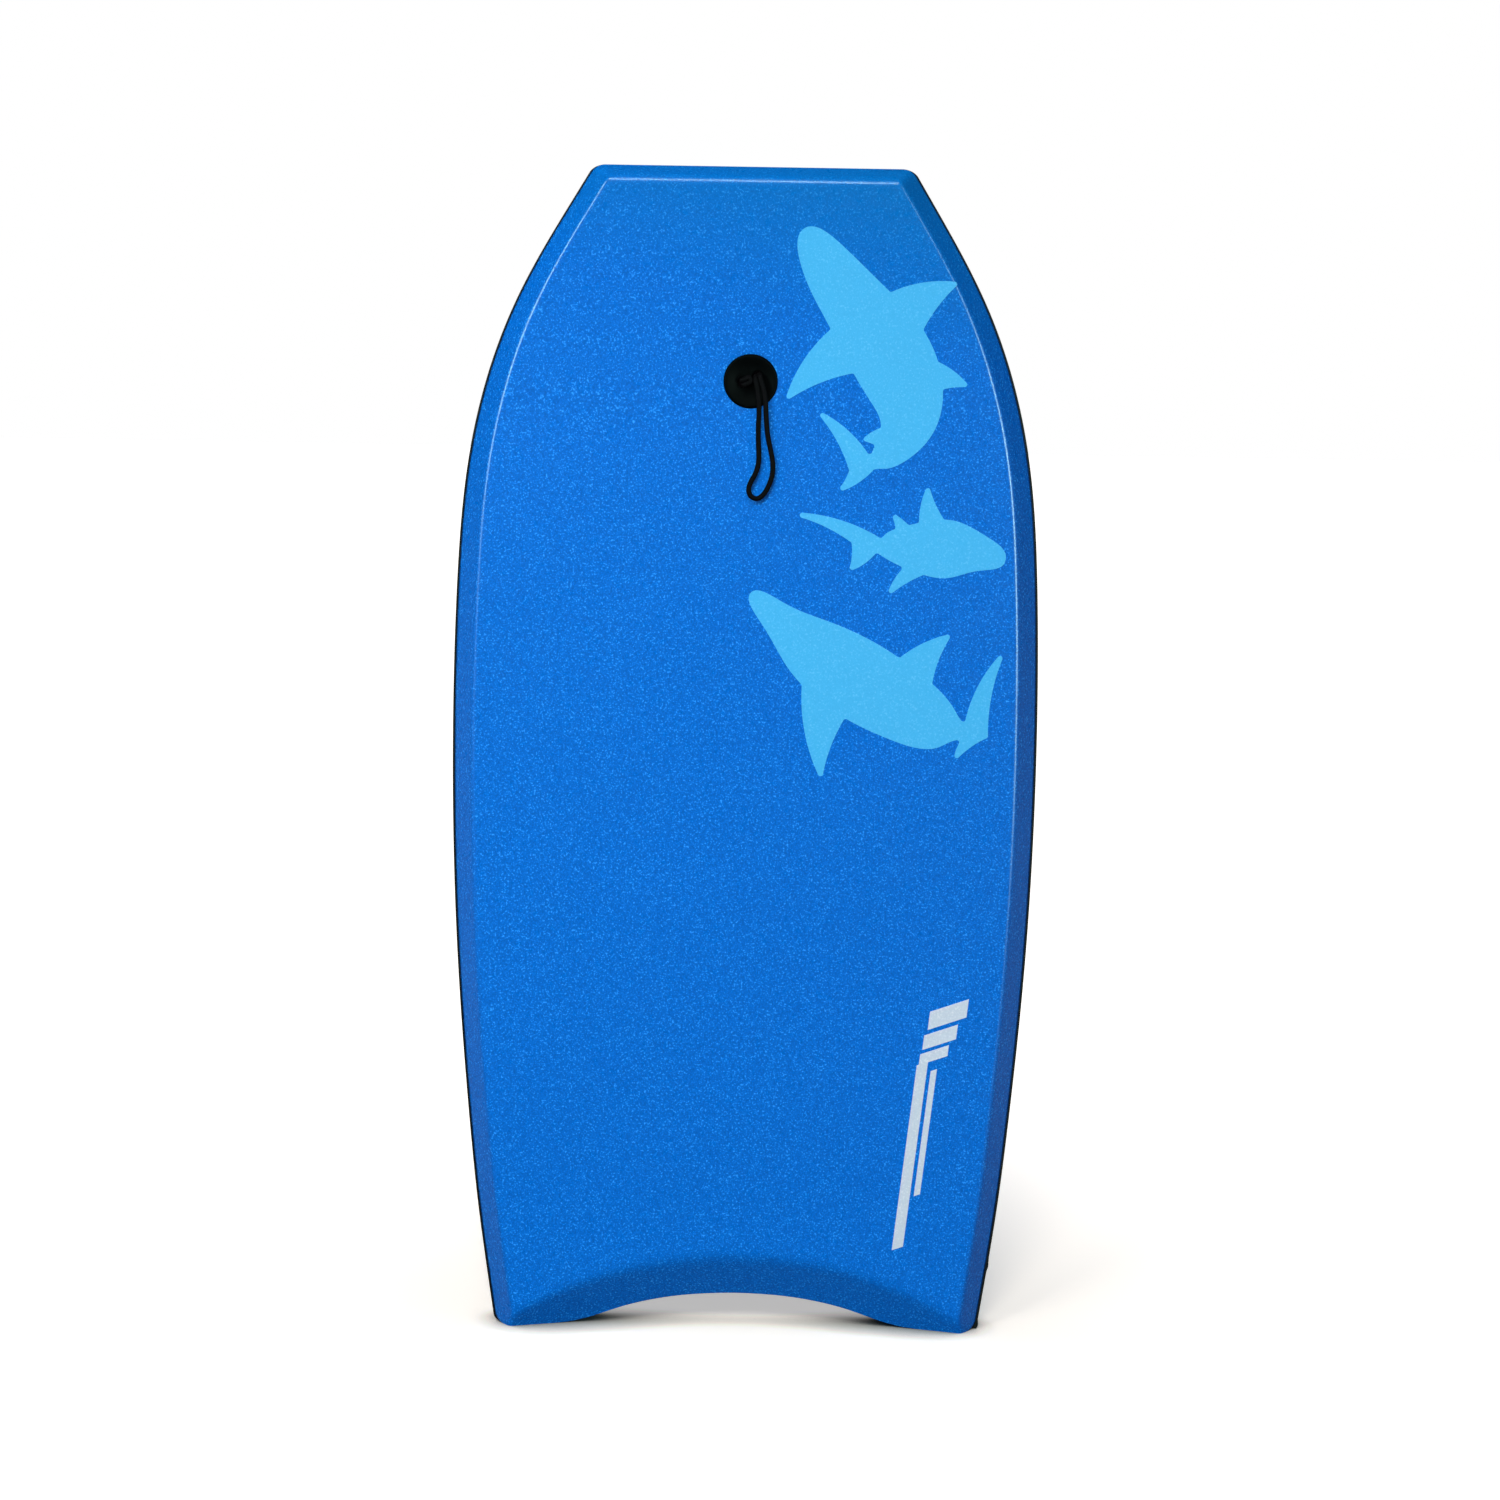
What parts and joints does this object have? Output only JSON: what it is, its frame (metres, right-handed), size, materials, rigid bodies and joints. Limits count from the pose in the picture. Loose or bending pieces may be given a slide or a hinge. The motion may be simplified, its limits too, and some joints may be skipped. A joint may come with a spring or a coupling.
{
  "type": "bodyboard",
  "caption": "Foam bodyboard with a flat nose, bevelled deck edges, crescent tail and a leash plug that holds a short cord loop.",
  "frame": {"origin": "on the floor between the tail horns, mid-width and mid-thickness, with the board standing on its tail", "axes": "+Z from tail to nose, +X across to the deck's right as it is looked at, +Y from the deck to the slick bottom"},
  "size_m": [0.4692, 0.0613, 0.94],
  "materials": {
    "core_foam": "expanded polystyrene bead foam, hidden inside",
    "deck_foam": "blue closed-cell foam sheet with a fine pebbled grain",
    "rail_foam": "black closed-cell foam strip, satin",
    "slick_film": "smooth black sheet, semi-gloss",
    "plug_plastic": "moulded black plastic, satin gloss",
    "string_braid": "black braided cord",
    "print_blue": "light blue ink printed on the foam",
    "print_white": "white ink printed on the foam"
  },
  "bodies": {
    "root": {"foam_core": "core_foam", "deck_skin": "deck_foam", "rail_band_left": "rail_foam", "rail_band_right": "rail_foam", "nose_band": "rail_foam", "tail_band": "rail_foam", "slick_bottom": "slick_film", "plug_cap": "plug_plastic", "plug_base": "plug_plastic", "leash_string": "string_braid", "string_bight": "string_braid", "string_knot": "string_braid", "deck_print_high": "print_blue", "deck_print_middle": "print_blue", "deck_print_low": "print_blue", "deck_print_side": "print_white"}
  },
  "joints": []
}
